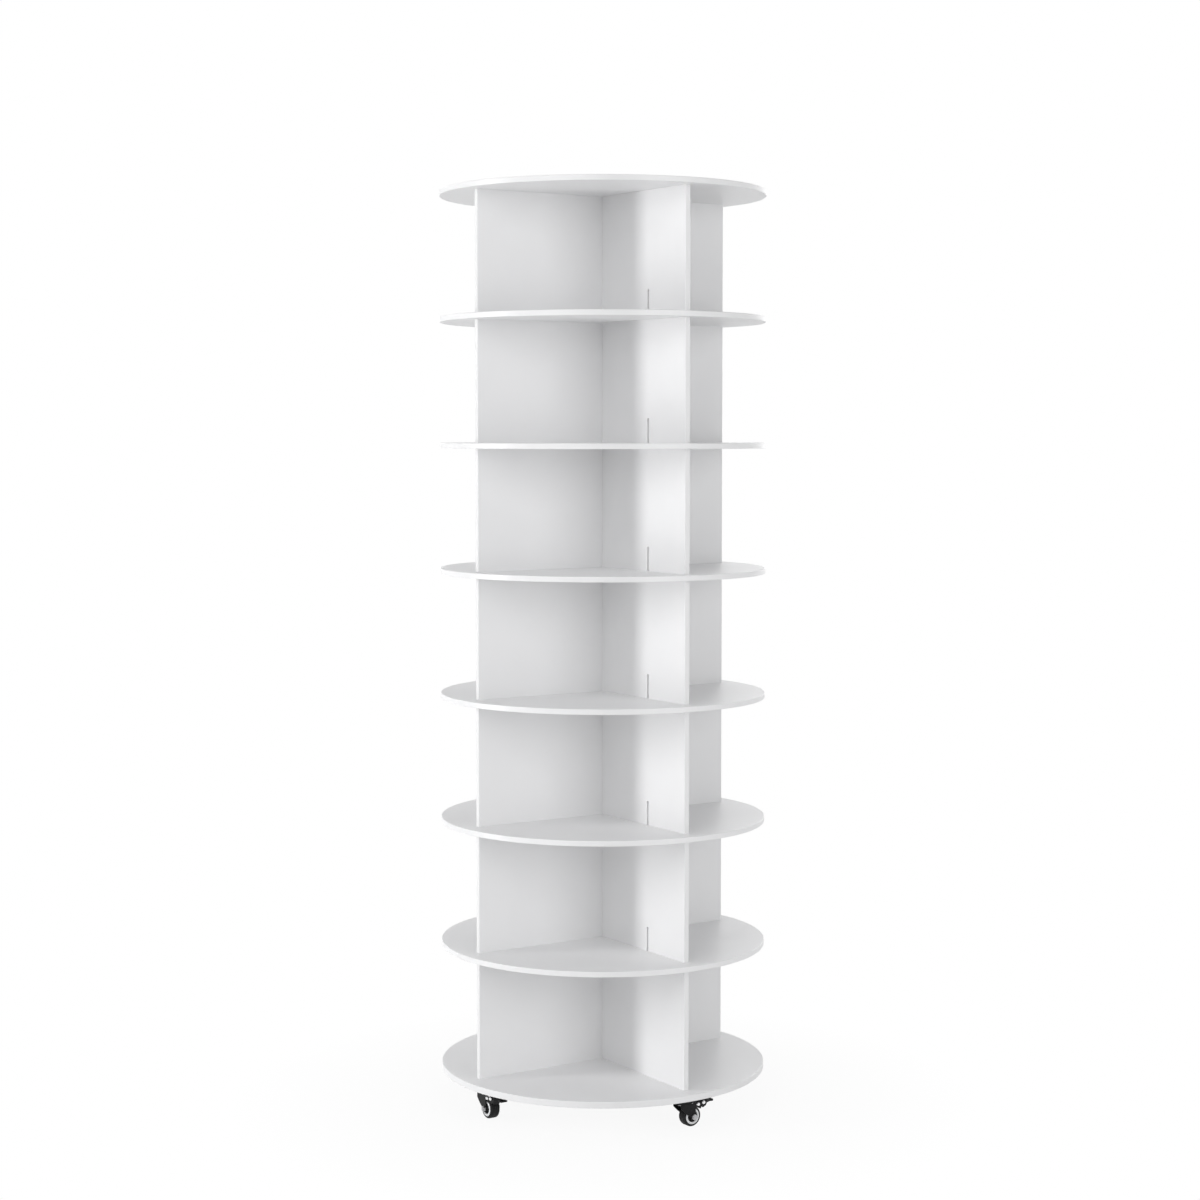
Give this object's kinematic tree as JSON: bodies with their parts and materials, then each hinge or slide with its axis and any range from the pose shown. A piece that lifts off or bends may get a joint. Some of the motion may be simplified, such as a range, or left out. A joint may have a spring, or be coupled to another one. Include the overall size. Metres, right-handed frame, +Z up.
{
  "type": "rotating shoe tower",
  "caption": "Tall round shoe tower: white round boards on cross dividers, turning on a bearing over a low black cross with braked swivel casters.",
  "frame": {"origin": "on the floor, below the tower's axis of rotation", "axes": "+Z up along the axis of rotation; the divider panels stand along X and along Y; -Y is one of the two dividers that face the front"},
  "size_m": [0.5999, 0.6, 1.68],
  "materials": {
    "white_board": "smooth matt white laminate on board",
    "dowel_wood": "plain beech",
    "black_steel": "satin black powder coat",
    "zinc_steel": "zinc plated, dull",
    "bright_steel": "bright plated steel",
    "tyre_rubber": "matt black rubber",
    "grey_rim": "light grey plastic, slightly glossy",
    "black_nylon": "black nylon"
  },
  "bodies": {
    "base": {"base_cross": "black_steel", "caster_plate_1": "black_steel", "caster_plate_2": "black_steel", "caster_plate_3": "black_steel", "caster_plate_4": "black_steel", "kingpins": "bright_steel", "plate_bolts": "bright_steel", "bearing_outer_ring": "zinc_steel", "bearing_balls": "bright_steel", "bearing_cage": "black_nylon", "bearing_base_screws": "bright_steel"},
    "tower": {"bottom_board": "white_board", "shelf_board_1": "white_board", "shelf_board_2": "white_board", "shelf_board_3": "white_board", "shelf_board_4": "white_board", "shelf_board_5": "white_board", "shelf_board_6": "white_board", "top_board": "white_board", "divider_x_1": "white_board", "divider_y_1": "white_board", "divider_x_2": "white_board", "divider_y_2": "white_board", "divider_x_3": "white_board", "divider_y_3": "white_board", "divider_x_4": "white_board", "divider_y_4": "white_board", "divider_x_5": "white_board", "divider_y_5": "white_board", "divider_x_6": "white_board", "divider_y_6": "white_board", "divider_x_7": "white_board", "divider_y_7": "white_board", "connector_dowels": "dowel_wood", "bearing_inner_ring": "zinc_steel", "bearing_board_screws": "bright_steel"},
    "fork_1": {"caster_fork_1": "black_steel", "caster_pins_1": "bright_steel"},
    "wheel_1": {"caster_tyre_1": "tyre_rubber", "caster_rim_1": "grey_rim", "caster_hub_1": "black_nylon"},
    "brake_1": {"brake_lever_1": "black_steel"},
    "fork_2": {"caster_fork_2": "black_steel", "caster_pins_2": "bright_steel"},
    "wheel_2": {"caster_tyre_2": "tyre_rubber", "caster_rim_2": "grey_rim", "caster_hub_2": "black_nylon"},
    "brake_2": {"brake_lever_2": "black_steel"},
    "fork_3": {"caster_fork_3": "black_steel", "caster_pins_3": "bright_steel"},
    "wheel_3": {"caster_tyre_3": "tyre_rubber", "caster_rim_3": "grey_rim", "caster_hub_3": "black_nylon"},
    "brake_3": {"brake_lever_3": "black_steel"},
    "fork_4": {"caster_fork_4": "black_steel", "caster_pins_4": "bright_steel"},
    "wheel_4": {"caster_tyre_4": "tyre_rubber", "caster_rim_4": "grey_rim", "caster_hub_4": "black_nylon"},
    "brake_4": {"brake_lever_4": "black_steel"}
  },
  "joints": [
    {"name": "tower_spin", "type": "hinge", "parent": "base", "child": "tower", "pos_m": [0, 0, 0.055], "axis": [0, 0, 1], "continuous": true},
    {"name": "caster_swivel_1", "type": "hinge", "parent": "base", "child": "fork_1", "pos_m": [0.255, 0, 0.044], "axis": [0, 0, 1], "continuous": true},
    {"name": "wheel_roll_1", "type": "hinge", "parent": "fork_1", "child": "wheel_1", "pos_m": [0.255, 0.018, 0.0185], "axis": [1, 0, 0], "continuous": true},
    {"name": "brake_press_1", "type": "hinge", "parent": "fork_1", "child": "brake_1", "pos_m": [0.255, 0.0395, 0.0418], "axis": [-1, 0, 0], "range_deg": [0, 20]},
    {"name": "caster_swivel_2", "type": "hinge", "parent": "base", "child": "fork_2", "pos_m": [0, 0.255, 0.044], "axis": [0, 0, 1], "continuous": true},
    {"name": "wheel_roll_2", "type": "hinge", "parent": "fork_2", "child": "wheel_2", "pos_m": [-0.018, 0.255, 0.0185], "axis": [0, 1, 0], "continuous": true},
    {"name": "brake_press_2", "type": "hinge", "parent": "fork_2", "child": "brake_2", "pos_m": [-0.0395, 0.255, 0.0418], "axis": [0, -1, 0], "range_deg": [0, 20]},
    {"name": "caster_swivel_3", "type": "hinge", "parent": "base", "child": "fork_3", "pos_m": [-0.255, 0, 0.044], "axis": [0, 0, 1], "continuous": true},
    {"name": "wheel_roll_3", "type": "hinge", "parent": "fork_3", "child": "wheel_3", "pos_m": [-0.255, -0.018, 0.0185], "axis": [-1, 0, 0], "continuous": true},
    {"name": "brake_press_3", "type": "hinge", "parent": "fork_3", "child": "brake_3", "pos_m": [-0.255, -0.0395, 0.0418], "axis": [1, 0, 0], "range_deg": [0, 20]},
    {"name": "caster_swivel_4", "type": "hinge", "parent": "base", "child": "fork_4", "pos_m": [0, -0.255, 0.044], "axis": [0, 0, 1], "continuous": true},
    {"name": "wheel_roll_4", "type": "hinge", "parent": "fork_4", "child": "wheel_4", "pos_m": [0.018, -0.255, 0.0185], "axis": [0, -1, 0], "continuous": true},
    {"name": "brake_press_4", "type": "hinge", "parent": "fork_4", "child": "brake_4", "pos_m": [0.0395, -0.255, 0.0418], "axis": [0, 1, 0], "range_deg": [0, 20]}
  ]
}
